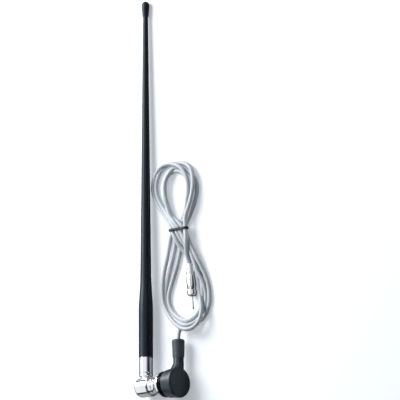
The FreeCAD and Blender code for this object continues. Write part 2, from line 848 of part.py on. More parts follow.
pieces = {
    "tip_cap": lay_down(tip_cap(), True),
    "mast_jacket": lay_down(mast_jacket(), True),
    "whip_rod": lay_down(whip_rod(), True),
    "mast_ferrule": lay_down(mast_ferrule(), True),
    "mast_stud": lay_down(mast_stud(), True),
    "swivel_head": lay_down(swivel_head(), True),
    "pivot_screw": lay_down(pivot_screw()),
    "cup_washer": lay_down(cup_washer()),
    "friction_washer": lay_down(friction_washer()),
    "base_flange": lay_down(base_flange()),
    "threaded_stem": lay_down(threaded_stem()),
    "insulating_bush": lay_down(insulating_bush()),
    "panel_gasket": lay_down(panel_gasket()),
    "earth_washer": lay_down(earth_washer()),
    "clamp_nut": lay_down(clamp_nut()),
    "rear_housing": lay_down(rear_housing()),
    "solder_tag": lay_down(solder_tag()),
    "lead_core": lay_down(lead_core()),
    "lead_inner": lay_down(lead_inner()),
    "braid_crimp": lay_down(braid_crimp()),
    "lead_boot": lay_down(lead_boot()),
}
cord_pieces = {
    "cable_lead": lead_on_table(),
    "cable_hank": cable_hank(),
    "cable_tail": tail_on_table(),
    "cable_tie": cable_tie(),
    "plug_body": plug_body(),
    "plug_spring": plug_spring(),
    "plug_collar": plug_collar(),
    "plug_insulator": plug_insulator(),
    "plug_pin": plug_pin(),
}

box = Part.makeCompound(list(pieces.values())).optimalBoundingBox(False)
middle = V(-box.Center.x, -box.Center.y, 0)
os.makedirs("parts", exist_ok=True)
for name, shape in {**pieces, **cord_pieces}.items():
    shape.translate(middle)
    shape.exportStep(os.path.join("parts", name + ".step"))

axis = V(math.cos(lie), 0, math.sin(lie))
swivel = V(0, 0, axis_height) + middle
panel = swivel + axis * housing_start
plug_mouth = on_table(Part.Vertex(plug_front, 0, 0)).Point + middle
plug_end = on_table(Part.Vertex(plug_tip, 0, 0)).Point + middle
for name, place in (("swivel", swivel), ("base axis", axis), ("panel face", panel), ("plug front", plug_mouth),
                    ("plug direction", (plug_end - plug_mouth).normalize()), ("lead exit", lead_exit + middle)):
    print("%s %.4f %.4f %.4f" % (name, place.x, place.y, place.z))
print("base axis %.2f deg off the table, mast %.3f deg" % (math.degrees(lie), math.degrees(mast_pitch)))
print("box without the lead", box)
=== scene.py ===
"""Car antenna: the looks of every piece, the coiled coaxial lead and the studio round them."""
import json
import math

import bmesh
import bpy
from bpy.props import FloatProperty, FloatVectorProperty, PointerProperty
from mathutils import Matrix, Vector


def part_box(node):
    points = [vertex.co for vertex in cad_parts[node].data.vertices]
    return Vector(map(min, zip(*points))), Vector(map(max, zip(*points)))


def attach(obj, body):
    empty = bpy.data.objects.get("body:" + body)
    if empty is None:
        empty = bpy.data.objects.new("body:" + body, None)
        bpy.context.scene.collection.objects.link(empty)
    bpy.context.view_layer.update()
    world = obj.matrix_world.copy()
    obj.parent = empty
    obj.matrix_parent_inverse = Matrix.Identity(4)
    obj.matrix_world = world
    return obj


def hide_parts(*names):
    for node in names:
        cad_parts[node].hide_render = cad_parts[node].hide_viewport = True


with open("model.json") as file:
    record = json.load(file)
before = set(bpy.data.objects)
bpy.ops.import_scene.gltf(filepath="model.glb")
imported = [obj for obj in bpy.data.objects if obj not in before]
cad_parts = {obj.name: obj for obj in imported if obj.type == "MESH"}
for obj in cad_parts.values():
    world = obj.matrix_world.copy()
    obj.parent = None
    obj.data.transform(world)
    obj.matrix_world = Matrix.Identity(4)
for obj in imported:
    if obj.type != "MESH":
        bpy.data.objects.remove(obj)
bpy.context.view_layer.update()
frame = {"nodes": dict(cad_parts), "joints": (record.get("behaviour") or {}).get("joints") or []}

bl_info = {
    "name": "Car antenna",
    "version": (1, 0, 0),
    "blender": (4, 5, 0),
    "location": "3D View > Sidebar > Antenna",
    "description": "Dresses a swivel-base car antenna and lays out its tied coaxial lead",
    "category": "Object",
}

MM = 0.001

# The swivel's foot: the place on the table under the swivel, from which the lead's places are counted
SWIVEL = Vector(frame["joints"][0]["pos_m"])
FOOT = Vector((SWIVEL.x, SWIVEL.y, 0.0))

# The photograph's view: towards the camera, and to the right in the picture
TO_CAMERA = Vector((0.6077, -0.16, 0.7779))
PICTURE_RIGHT = Vector((0.7865, -0.0140, -0.6174))
VIEW_CENTRE = Vector((0.0476, -0.0049, -0.0010))
VIEW_WIDTH = 0.4415
CAMERA_DISTANCE = 12.0
CAMERA_CLIP = (0.1, 50.0)
SENSOR_WIDTH = 36.0

# The floor, which glows a little to the camera and is darker in reflections
FLOOR_HALF = 6.0
FLOOR_HEIGHT = -0.0001
FLOOR_ROUGHNESS = 0.9
FLOOR_SPECULAR = 0.1
FLOOR_GLOW = 0.4
FLOOR_GLOW_COLOUR = (0.86, 0.93, 1.0)
MIRRORED_FLOOR = 0.5

# The soft lamps, which point at the origin: the key on the picture's left, the fill on the camera's side
KEY_PLACE = (-0.85, 0.65, 0.95)
KEY_SIZE = (1.1, 1.4)
KEY_COLOUR = (1.0, 0.99, 0.97)
FILL_PLACE = (0.9, -1.2, 1.2)
FILL_SIZE = (1.0, 1.0)
FILL_COLOUR = (0.9, 0.95, 1.0)

# The room. Reflections show it white on the bright side and dark on the other, dark at the horizon
# and dark in a narrow gap where the camera looks in. Each range is of the cosine of the angle to the
# bright side, to straight up or to the camera
ROOM_COLOUR = (0.93, 0.96, 1.0)
BRIGHT_SIDE = Vector((-0.62, 0.5, 0.6))
STRAIGHT_UP = Vector((0, 0, 1))
DARK_WALL = 0.03
WALL_RANGE = (-0.25, 0.2)
HORIZON = 0.05
CEILING_RANGE = (0.2, 0.28)
CAMERA_GAP = 0.03
GAP_RANGE = (0.972, 0.986)

# Colours of the finishes that have no setting of their own
SPRING_STEEL = (0.6, 0.6, 0.62)
WASHER_STEEL = (0.55, 0.55, 0.57)
ZINC = (0.66, 0.66, 0.63)
BRASS = (0.76, 0.58, 0.27)
COPPER = (0.8, 0.42, 0.26)
# Nickel for the plug's pin, darker than the plug's own
DARKER_PIN_NICKEL = (0.3, 0.31, 0.33)
NYLON = (0.75, 0.74, 0.68)
GASKET_BLACK = (0.002, 0.002, 0.002)
TIE_BLACK = (0.008, 0.009, 0.01)
WASHER_BLACK = (0.01, 0.01, 0.011)
INSULATOR_BLACK = (0.01, 0.01, 0.012)

# Route of the lead from its exit into the coil, and of its tail from the tie to the plug: the
# points of the source, moved a little to follow the turns, in metres from the swivel's foot
LEAD_ROUTE = [
    (0.0458276, 0.0489, 0.0110125),
    (0.0458, 0.0545, 0.0108),
    (0.0468, 0.0602, 0.0092),
    (0.0503, 0.0644, 0.0068),
    (0.0562, 0.0664, 0.0046),
    (0.0632, 0.0668, 0.0030),
    (0.0702, 0.0684, 0.0024),
    (0.0762, 0.0724, 0.0024),
    (0.0806, 0.0786, 0.0024),
    (0.0830, 0.0866, 0.0024),
]
TAIL_ROUTE = [
    (0.0578, 0.1640, 0.0104),
    (0.0582, 0.1570, 0.0112),
    (0.0581, 0.1495, 0.0108),
    (0.0577, 0.1425, 0.0086),
    (0.0579, 0.1370, 0.0063),
    (0.0584276, 0.1320, 0.0049),
]

# The coil, in millimetres from the swivel's foot: places where the outermost and the innermost strand
# seem to lie on the table, seen from the camera, from the tie's left round to its right
UPPER_OUTER = [(23.9, 188.5), (15.4, 200), (8.5, 211.5), (6.3, 222), (8, 233), (13, 242), (21.2, 247.6),
               (31.5, 249), (43.5, 248.8), (53.5, 245.6), (61.5, 239), (66.8, 229.5), (68.8, 217.5),
               (66.6, 206), (62.5, 196.5), (57.5, 187)]
UPPER_INNER = [(32.4, 187.5), (27, 199.5), (23.1, 211), (21.9, 222), (24.3, 231.5), (29.6, 237), (35.8, 239),
               (42, 238.3), (47.5, 235.6), (52, 230.4), (54.9, 223.5), (55.5, 215), (54.6, 206.5),
               (52.6, 197.5), (50, 190.5), (46.8, 183.8)]
LOWER_OUTER = [(28.6, 157.5), (24.8, 142.1), (20.4, 127.5), (17.9, 114), (17.8, 100), (20.6, 88), (27.3, 77),
               (35.5, 67.5), (47.5, 60.6), (60, 60.8), (71.5, 66.4), (79.5, 75.8), (83.4, 87), (83.8, 99),
               (81, 112), (75.8, 124), (68.5, 139)]
LOWER_INNER = [(45, 153.5), (41, 139), (36, 125), (30, 111.5), (25.8, 98.5), (28.2, 86.5), (34, 79),
               (42, 73.2), (49, 70), (57, 70.2), (64, 74), (68.6, 81.5), (70, 91), (69.4, 101),
               (68, 112), (66.3, 123.5), (62.6, 135)]

# Each pass of a strand round a loop: its share of the way from the innermost to the outermost place,
# and its centre's height in millimetres, at each of those places, with None before the pass begins
UPPER_PASSES = {
    "a4": ([0, 0, 0, 0, 0, 0, 0, 0.03, 0.08, 0.12, 0.08, 0, 0, 0, 0, 0],
           [4.6, 2.4, 2.4, 2.4, 2.4, 2.4, 2.4, 2.4, 2.4, 2.4, 2.4, 2.4, 2.4, 2.4, 2.4, 2.6]),
    "a3": ([0.3, 0.1, 0, 0, 0, 0.05, 0.2, 0.38, 0.52, 0.62, 0.72, 0.85, 1, 1, 1, 1],
           [7.4, 6.6, 6.6, 6.6, 6.6, 6, 4.6, 2.8, 2.4, 2.4, 2.4, 2.4, 2.4, 2.4, 2.4, 2.6]),
    "a2": ([0.48, 0.62, 0.7, 0.73, 0.73, 0.74, 0.78, 0.85, 0.93, 1, 0.97, 0.7, 0.46, 0.34, 0.27, 0.38],
           [4, 2.4, 2.4, 2.4, 2.4, 2.4, 2.4, 2.4, 2.4, 3.4, 5, 6.8, 8.2, 8.8, 9.2, 9.4]),
    "a1": ([1, 1, 1, 1, 1, 1, 1, 0.95, 0.58, 0.24, 0.08, 0.02, -0.05, 0, 0.2, 0.42],
           [2.8, 2.4, 2.4, 2.4, 2.6, 3.8, 5.8, 7.2, 7.6, 7.4, 7.2, 7.2, 7, 6.4, 5, 3.2]),
}
LOWER_PASSES = {
    "d3": ([0, 0, 0, 0, 0, 0, 0, 0, 0, 0, 0.03, 0.15, 0.3, 0.33, 0.37, 0.5, 0.68],
           [2.4, 2.4, 2.4, 2.4, 2.4, 2.4, 3.6, 6.2, 8.8, 8.2, 5, 2.8, 2.4, 2.4, 2.4, 2.4, 2.4]),
    "d2": ([0.5, 0.52, 0.52, 0.5, 0.5, 0.5, 0.5, 0.5, 0.5, 0.5, 0.55, 0.62, 0.66, 0.66, 0.52, 0.04, 0.02],
           [2.4, 2.4, 2.4, 2.4, 2.4, 2.6, 4.4, 8, 11.4, 9.6, 5.4, 2.6, 2.4, 2.4, 5, 6.6, 6.6]),
    "d1": ([1, 1, 1, 1, 1, 1, 1, 1, 1, 0.96, 0.7, 0.35, 0.12, 0, 0, 0, 0],
           [3, 4.2, 5, 5, 4.8, 5, 7, 11, 14.3, 14.2, 12.2, 9, 5.2, 2.4, 2.4, 2.4, 2.4]),
    "lead": ([None] * 12 + [1, 1, 1, 0.93, 0.75],
             [None] * 12 + [2.4, 2.4, 2.4, 3.4, 6]),
}

# Strands through the tie, in millimetres from the swivel's foot: from the upper loop's right down to
# the lower loop's left, and from the lower loop's right up to the upper loop's left
DOWN = {
    "b3": [(40.6, 178.3, 3.0), (35, 171.8, 3.7), (30.6, 164.5, 2.9)],
    "b2": [(46.5, 179, 3.0), (41.2, 171.8, 3.7), (37, 163.5, 2.9)],
    "b1": [(53.2, 179.5, 3.0), (48.4, 171.8, 3.7), (45.3, 163, 2.9)],
}
UP = {
    "c1": [(56, 141.5, 2.6), (50.4, 147.3, 4.2), (45.6, 154, 7.0), (41, 162.8, 8.4), (36.4, 171.8, 7.7),
           (30.6, 180, 4.6)],
    "c2": [(58.8, 146.5, 2.7), (54.4, 152, 4.4), (50.2, 157.6, 6.6), (46.6, 164.2, 8.2), (42.4, 171.8, 8.3),
           (36.3, 180.2, 7.4)],
    "c3": [(61, 146.3, 6.7), (57.5, 152.2, 6.9), (54.2, 158.4, 7.4), (51, 165, 8), (47.4, 171.8, 8.5),
           (41, 180.8, 9.2)],
    "c4": [(64.4, 147.5, 6.5), (61, 153.6, 6.6), (58, 160, 6.5), (55.5, 166, 6.3), (52.6, 171.8, 6.3),
           (45.8, 179.8, 7.4)],
}
TAIL_START = [(56.6, 178, 9.4), (56.4, 171.8, 9.4)]

# The order in which the lead runs: up through the tie, round the upper loop, down through the tie and
# round the lower loop; the last turn leaves through the tie for the plug
LEAD_ORDER = [("c4", "a4", "b3", "d1"), ("c1", "a1", "b2", "d2"), ("c3", "a3", "b1", "d3")]
LAST_TURN = ("c2", "a2")

# The tie: how far up the strands it lies, in millimetres from the swivel's foot, where its middle is
# across them, in metres, and how much further up it lies for each metre to the right of that
TIE_LINE = 171.8
TIE_MIDDLE = 0.045
TIE_SLANT = 0.02
TIE_STEPS = 72
CORNER_SHARE = 0.3
TOOTH_SHARE = 0.7


class LeadSettings(bpy.types.PropertyGroup):
    """The coaxial lead and its tie."""
    diameter: FloatProperty(name="Diameter", description="Diameter of the lead's sheath", default=0.0048,
                            min=0.001, unit="LENGTH")
    length: FloatProperty(name="Length", description="Length of the lead from the boot to the plug",
                          default=1.7, min=0.2, unit="LENGTH")
    sheath_colour: FloatVectorProperty(name="Sheath", description="Colour of the sheath", subtype="COLOR",
                                       size=3, min=0, max=1, default=(0.58, 0.635, 0.69))
    tie_width: FloatProperty(name="Tie width", description="Width of the tie's band", default=0.0029,
                             unit="LENGTH")
    tie_thickness: FloatProperty(name="Tie thickness", description="Thickness of the tie's band",
                                 default=0.0011, unit="LENGTH")
    tie_tooth_pitch: FloatProperty(name="Tooth pitch", description="From one tooth of the tie to the next",
                                   default=0.0013, unit="LENGTH")
    tie_tooth_height: FloatProperty(name="Tooth height", description="How far the tie's teeth stand out",
                                    default=0.00025, unit="LENGTH")


class FinishSettings(bpy.types.PropertyGroup):
    """Colours of the antenna's own finishes."""
    rubber: FloatVectorProperty(name="Mast rubber", description="Colour of the mast's rubber",
                                subtype="COLOR", size=3, min=0, max=1, default=(0.009, 0.0105, 0.0125))
    chrome: FloatVectorProperty(name="Chrome", description="Colour of the chromed ferrule, head and base",
                                subtype="COLOR", size=3, min=0, max=1, default=(0.88, 0.89, 0.91))
    housing: FloatVectorProperty(name="Housing", description="Colour of the moulded rear housing",
                                 subtype="COLOR", size=3, min=0, max=1, default=(0.018, 0.022, 0.027))
    boot: FloatVectorProperty(name="Boot", description="Colour of the lead's rubber boot", subtype="COLOR",
                              size=3, min=0, max=1, default=(0.072, 0.083, 0.095))
    nickel: FloatVectorProperty(name="Nickel", description="Colour of the plated plug", subtype="COLOR",
                                size=3, min=0, max=1, default=(0.70, 0.70, 0.70))


class StudioSettings(bpy.types.PropertyGroup):
    """The floor and the lamps."""
    floor_colour: FloatVectorProperty(name="Floor", description="Colour of the floor", subtype="COLOR",
                                      size=3, min=0, max=1, default=(0.86, 0.88, 0.91))
    key_power: FloatProperty(name="Key power", description="Power of the soft lamp on the left, in watts",
                             default=36.0, min=0)
    fill_power: FloatProperty(name="Fill power", description="Power of the camera side's lamp, in watts",
                              default=1.0, min=0)
    ambient: FloatProperty(name="Ambient", description="Strength of the room's even light", default=0.1,
                           min=0)


# Materials

def new_material(name):
    """A material with only its output and a Principled shader."""
    material = bpy.data.materials.new(name)
    material.use_nodes = True
    tree = material.node_tree
    tree.nodes.clear()
    shader = tree.nodes.new("ShaderNodeBsdfPrincipled")
    output = tree.nodes.new("ShaderNodeOutputMaterial")
    tree.links.new(shader.outputs["BSDF"], output.inputs["Surface"])
    return material, tree, shader


def object_noise(tree, scale, detail=3.0, stretch=(1, 1, 1)):
    """Noise on Object coordinates, finer along an axis with a larger stretch."""
    place = tree.nodes.new("ShaderNodeTexCoord")
    mapping = tree.nodes.new("ShaderNodeMapping")
    mapping.inputs["Scale"].default_value = stretch
    noise = tree.nodes.new("ShaderNodeTexNoise")
    noise.inputs["Scale"].default_value = scale
    noise.inputs["Detail"].default_value = detail
    tree.links.new(place.outputs["Object"], mapping.inputs["Vector"])
    tree.links.new(mapping.outputs["Vector"], noise.inputs["Vector"])
    return noise.outputs["Fac"]


def ranged(tree, value, low, high, from_low=0.3, from_high=0.7):
    """The value, spread from one range, which for noise is its middle, to low and high."""
    spread = tree.nodes.new("ShaderNodeMapRange")
    spread.inputs["From Min"].default_value = from_low
    spread.inputs["From Max"].default_value = from_high
    spread.inputs["To Min"].default_value = low
    spread.inputs["To Max"].default_value = high
    tree.links.new(value, spread.inputs["Value"])
    return spread.outputs["Result"]


def two_colours(tree, value, dark, light):
    """A colour between two, by the value."""
    mix = tree.nodes.new("ShaderNodeMix")
    mix.data_type = "RGBA"
    mix.inputs["A"].default_value = (*dark, 1)
    mix.inputs["B"].default_value = (*light, 1)
    tree.links.new(value, mix.inputs["Factor"])
    return mix.outputs["Result"]


def bump(tree, height, depth, strength, under=None):
    """The normal of bumps of that depth, in metres, laid over the normal of those under them."""
    node = tree.nodes.new("ShaderNodeBump")
    node.inputs["Distance"].default_value = depth
    node.inputs["Strength"].default_value = strength
    tree.links.new(height, node.inputs["Height"])
    if under is not None:
        tree.links.new(under, node.inputs["Normal"])
    return node.outputs["Normal"]


def edge_wear(tree):
    """1 on convex edges and 0 on flat faces."""
    geometry = tree.nodes.new("ShaderNodeNewGeometry")
    return ranged(tree, geometry.outputs["Pointiness"], 0, 1, from_low=0.56, from_high=0.66)


def shade(colour, factor):
    """The colour, lighter or darker by a factor."""
    return tuple(min(1.0, channel * factor) for channel in colour)


def reflect(shader, ior, tint):
    """Reflections as strong as the IOR makes them, and tinted."""
    shader.inputs["IOR"].default_value = ior
    shader.inputs["Specular Tint"].default_value = (*tint, 1)


def rubber_material(name, colour, rough, grain, ior=1.36):
    """Moulded rubber: fine grain, slight bloom and rubbed edges."""
    material, tree, shader = new_material(name)
    bloom = object_noise(tree, scale=90, detail=4)
    fine = object_noise(tree, scale=2600, detail=2)
    scuffs = object_noise(tree, scale=300, detail=5, stretch=(1, 0.12, 1))
    base = two_colours(tree, ranged(tree, bloom, 0, 1), shade(colour, 0.82), shade(colour, 1.25))
    worn = two_colours(tree, edge_wear(tree), (0, 0, 0), shade(colour, 0.4))
    add = tree.nodes.new("ShaderNodeMix")
    add.data_type = "RGBA"
    add.blend_type = "ADD"
    add.inputs["Factor"].default_value = 1.0
    tree.links.new(base, add.inputs["A"])
    tree.links.new(worn, add.inputs["B"])
    tree.links.new(add.outputs["Result"], shader.inputs["Base Color"])
    tree.links.new(ranged(tree, scuffs, rough - 0.05, rough + 0.07), shader.inputs["Roughness"])
    reflect(shader, ior, (0.66, 0.85, 1.0))
    grained = bump(tree, fine, depth=0.00006, strength=grain)
    scuffed = bump(tree, scuffs, depth=0.0001, strength=0.08, under=grained)
    tree.links.new(scuffed, shader.inputs["Normal"])
    return material


def plated_material(name, colour, rough, stretch=(1, 1, 1)):
    """Plated metal: polish lines, faint haze and small raised spots."""
    material, tree, shader = new_material(name)
    haze = object_noise(tree, scale=60, detail=4)
    lines = object_noise(tree, scale=900, detail=3, stretch=stretch)
    spots = ranged(tree, object_noise(tree, scale=700, detail=2), 0, 1, from_low=0.66, from_high=0.7)
    base = two_colours(tree, ranged(tree, haze, 0, 1), shade(colour, 0.93), shade(colour, 1.03))
    tree.links.new(base, shader.inputs["Base Color"])
    shader.inputs["Metallic"].default_value = 1.0
    tree.links.new(ranged(tree, haze, rough * 0.7, rough * 1.6), shader.inputs["Roughness"])
    polished = bump(tree, lines, depth=0.00002, strength=0.12)
    spotted = bump(tree, spots, depth=0.00002, strength=0.1, under=polished)
    tree.links.new(spotted, shader.inputs["Normal"])
    return material


def plastic_material(name, colour, rough, grain, ior=1.5):
    """Moulded plastic: fine spark-eroded grain and flow marks."""
    material, tree, shader = new_material(name)
    flow = object_noise(tree, scale=70, detail=3, stretch=(1, 0.4, 1))
    fine = object_noise(tree, scale=3200, detail=2)
    base = two_colours(tree, ranged(tree, flow, 0, 1), shade(colour, 0.9), shade(colour, 1.1))
    tree.links.new(base, shader.inputs["Base Color"])
    tree.links.new(ranged(tree, flow, rough - 0.04, rough + 0.06), shader.inputs["Roughness"])
    reflect(shader, ior, (0.7, 0.87, 1.0))
    tree.links.new(bump(tree, fine, depth=0.00005, strength=grain), shader.inputs["Normal"])
    return material


def sheath_material(name, colour):
    """Soft grey vinyl: slight gloss, handling marks, and the faint relief of the braid under it."""
    material, tree, shader = new_material(name)
    marks = object_noise(tree, scale=120, detail=5)
    dirt = object_noise(tree, scale=35, detail=3)
    braid = object_noise(tree, scale=1500, detail=1)
    base = two_colours(tree, ranged(tree, dirt, 0, 1), shade(colour, 0.9), shade(colour, 1.06))
    tree.links.new(base, shader.inputs["Base Color"])
    tree.links.new(ranged(tree, marks, 0.36, 0.5), shader.inputs["Roughness"])
    shader.inputs["Specular IOR Level"].default_value = 0.55
    shader.inputs["Subsurface Weight"].default_value = 0.05
    shader.inputs["Subsurface Scale"].default_value = 0.001
    woven = bump(tree, braid, depth=0.00005, strength=0.12)
    handled = bump(tree, marks, depth=0.0001, strength=0.05, under=woven)
    tree.links.new(handled, shader.inputs["Normal"])
    return material


def dress(node, material):
    """Gives a CAD node its material."""
    piece = frame["nodes"][node]
    piece.data.materials.clear()
    piece.data.materials.append(material)


# The lead

def seen_at(place, height):
    """Where a strand's centre is, in metres, if it lies that high and the camera sees it over a place."""
    lift = height - bpy.context.scene.antenna_lead.diameter / MM / 2
    return FOOT + MM * Vector((place[0] + lift * TO_CAMERA.x / TO_CAMERA.z,
                               place[1] + lift * TO_CAMERA.y / TO_CAMERA.z, height))


def turn_points(inner, outer, shares, heights):
    """Control points of one pass round a loop."""
    points = []
    for near, far, share, height in zip(inner, outer, shares, heights):
        if share is not None:
            points.append(seen_at(Vector(near).lerp(Vector(far), share), height))
    return points


def through_tie(points):
    """Control points of a strand through the tie, in metres."""
    return [FOOT + MM * Vector(point) for point in points]


def lead_points():
    """Every control point of the lead, from the boot through the coil's turns to the plug."""
    points = [FOOT + Vector(point) for point in LEAD_ROUTE]
    points += turn_points(LOWER_INNER, LOWER_OUTER, *LOWER_PASSES["lead"])
    for rising, upper, falling, lower in LEAD_ORDER:
        points += through_tie(UP[rising])
        points += turn_points(UPPER_INNER, UPPER_OUTER, *UPPER_PASSES[upper])
        points += through_tie(DOWN[falling])
        points += turn_points(LOWER_INNER, LOWER_OUTER, *LOWER_PASSES[lower])
    points += through_tie(UP[LAST_TURN[0]])
    points += turn_points(UPPER_INNER, UPPER_OUTER, *UPPER_PASSES[LAST_TURN[1]])
    points += through_tie(TAIL_START)
    points += [FOOT + Vector(point) for point in TAIL_ROUTE]
    return points


class ANTENNA_OT_coax_lead(bpy.types.Operator):
    """Lay the coaxial lead from the boot through its tied coil to the plug"""
    bl_idname = "antenna.coax_lead"
    bl_label = "Coaxial lead"

    def execute(self, context):
        settings = context.scene.antenna_lead
        points = lead_points()
        curve = bpy.data.curves.new("coax_lead", "CURVE")
        curve.dimensions = "3D"
        curve.bevel_depth = settings.diameter / 2
        curve.bevel_resolution = 5
        curve.use_fill_caps = True
        curve.resolution_u = 6
        spline = curve.splines.new("NURBS")
        spline.points.add(len(points) - 1)
        for control, point in zip(spline.points, points):
            control.co = (*point, 1)
        spline.order_u = 3
        spline.use_endpoint_u = True
        lead = bpy.data.objects.new("coax_lead", curve)
        context.scene.collection.objects.link(lead)
        curve.materials.append(sheath_material("grey vinyl sheath", settings.sheath_colour))
        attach(lead, "base")
        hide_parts("cable_lead", "cable_hank", "cable_tail")
        return {"FINISHED"}


# The tie

def strands_in_tie():
    """The strands' centres (x, z) where they pass through the tie."""
    strands = (*DOWN.values(), *UP.values(), TAIL_START)
    return [Vector((FOOT.x + MM * x, MM * z)) for points in strands for x, y, z in points if y == TIE_LINE]


def tie_outline(strands, reach):
    """Points (x, z) of a band drawn tight round strands, and the way out at each."""
    outline = []
    for step in range(TIE_STEPS):
        angle = 2 * math.pi * step / TIE_STEPS
        outward = Vector((math.cos(angle), math.sin(angle)))
        furthest = max(strands, key=lambda strand: strand.dot(outward))
        outline.append((furthest + reach * outward, outward))
    return outline


def slanted(x):
    """How much further up the strands the tie, drawn a little askew, lies there."""
    return TIE_SLANT * (x - FOOT.x - TIE_MIDDLE)


def band_section(half_width, half_thick):
    """Corners of the band's section with rounded edges, as (along the strands, outwards)."""
    corner = CORNER_SHARE * half_thick
    return [(-half_width, -half_thick + corner), (-half_width + corner, -half_thick),
            (half_width - corner, -half_thick), (half_width, -half_thick + corner),
            (half_width, half_thick - corner), (half_width - corner, half_thick),
            (-half_width + corner, half_thick), (-half_width, half_thick - corner)]


def band_mesh(outline, section, middle):
    """The tie's smooth band: its section carried round the outline, and never below the table."""
    verts = []
    for place, outward in outline:
        for along, out in section:
            spot = place + out * outward
            verts.append((spot.x, middle + along + slanted(spot.x), max(spot.y, 0.0)))
    faces = []
    rows, columns = len(outline), len(section)
    for row in range(rows):
        for column in range(columns):
            after, beside = (row + 1) % rows, (column + 1) % columns
            faces.append((row * columns + column, row * columns + beside,
                          after * columns + beside, after * columns + column))
    mesh = bpy.data.meshes.new("tie")
    mesh.from_pydata(verts, [], faces)
    return mesh


def along_outline(outline, pitch):
    """Places at an even pitch along a closed outline, with the way out at each."""
    places = []
    left = 0.0
    for (start, out_start), (end, out_end) in zip(outline, outline[1:] + outline[:1]):
        length = (end - start).length
        while length > 0 and left < length:
            share = left / length
            places.append((start.lerp(end, share), out_start.lerp(out_end, share).normalized()))
            left += pitch
        left -= length
    return places


def tooth_seeds(outline, settings, middle):
    """Places of the teeth on the band's outer face, clear of the table, and the way out at each."""
    points = []
    directions = []
    for place, outward in along_outline(outline, settings.tie_tooth_pitch):
        spot = place + settings.tie_thickness / 2 * outward
        if spot.y > settings.tie_tooth_height:
            points.append((spot.x, middle + slanted(spot.x), spot.y))
            directions.append((outward.x, 0, outward.y))
    return points, directions


def teeth_tree():
    """Node tree that puts a tooth on each point, standing along the point's outward direction."""
    tree = bpy.data.node_groups.new("tie teeth", "GeometryNodeTree")
    tree.interface.new_socket("Geometry", in_out="INPUT", socket_type="NodeSocketGeometry")
    for name in ("Tooth length", "Tooth width", "Tooth height"):
        tree.interface.new_socket(name, in_out="INPUT", socket_type="NodeSocketFloat")
    tree.interface.new_socket("Material", in_out="INPUT", socket_type="NodeSocketMaterial")
    tree.interface.new_socket("Geometry", in_out="OUTPUT", socket_type="NodeSocketGeometry")
    entry = tree.nodes.new("NodeGroupInput")
    leave = tree.nodes.new("NodeGroupOutput")
    size = tree.nodes.new("ShaderNodeCombineXYZ")
    tooth = tree.nodes.new("GeometryNodeMeshCube")
    outward = tree.nodes.new("GeometryNodeInputNamedAttribute")
    outward.data_type = "FLOAT_VECTOR"
    outward.inputs["Name"].default_value = "outward"
    turn = tree.nodes.new("FunctionNodeAlignRotationToVector")
    turn.axis = "Z"
    turn.pivot_axis = "Y"
    spread = tree.nodes.new("GeometryNodeInstanceOnPoints")
    realize = tree.nodes.new("GeometryNodeRealizeInstances")
    finish = tree.nodes.new("GeometryNodeSetMaterial")
    tree.links.new(entry.outputs["Tooth length"], size.inputs["X"])
    tree.links.new(entry.outputs["Tooth width"], size.inputs["Y"])
    tree.links.new(entry.outputs["Tooth height"], size.inputs["Z"])
    tree.links.new(size.outputs["Vector"], tooth.inputs["Size"])
    tree.links.new(outward.outputs["Attribute"], turn.inputs["Vector"])
    tree.links.new(entry.outputs["Geometry"], spread.inputs["Points"])
    tree.links.new(tooth.outputs["Mesh"], spread.inputs["Instance"])
    tree.links.new(turn.outputs["Rotation"], spread.inputs["Rotation"])
    tree.links.new(spread.outputs["Instances"], realize.inputs["Geometry"])
    tree.links.new(realize.outputs["Geometry"], finish.inputs["Geometry"])
    tree.links.new(entry.outputs["Material"], finish.inputs["Material"])
    tree.links.new(finish.outputs["Geometry"], leave.inputs["Geometry"])
    return tree


def teeth_mesh(points, directions, inputs):
    """The tie's teeth as one mesh, grown from points by the node tree."""
    seeds = bpy.data.meshes.new("tie seeds")
    seeds.from_pydata(points, [], [])
    outward = seeds.attributes.new("outward", "FLOAT_VECTOR", "POINT")
    for place, direction in zip(outward.data, directions):
        place.vector = direction
    grower = bpy.data.objects.new("tie seeds", seeds)
    bpy.context.scene.collection.objects.link(grower)
    modifier = grower.modifiers.new("teeth", "NODES")
    tree = teeth_tree()
    modifier.node_group = tree
    for item in tree.interface.items_tree:
        if item.in_out == "INPUT" and item.name in inputs:
            modifier[item.identifier] = inputs[item.name]
    grown = grower.evaluated_get(bpy.context.evaluated_depsgraph_get())
    teeth = bpy.data.meshes.new_from_object(grown)
    grower.modifiers.clear()
    bpy.data.objects.remove(grower)
    return teeth


def outward_faces(mesh, *others):
    """Joins closed meshes into the first, turns their faces outwards and smooths the first one's."""
    smooth = len(mesh.polygons)
    work = bmesh.new()
    for part in (mesh, *others):
        work.from_mesh(part)
    bmesh.ops.recalc_face_normals(work, faces=work.faces)
    work.to_mesh(mesh)
    work.free()
    for face in mesh.polygons[:smooth]:
        face.use_smooth = True


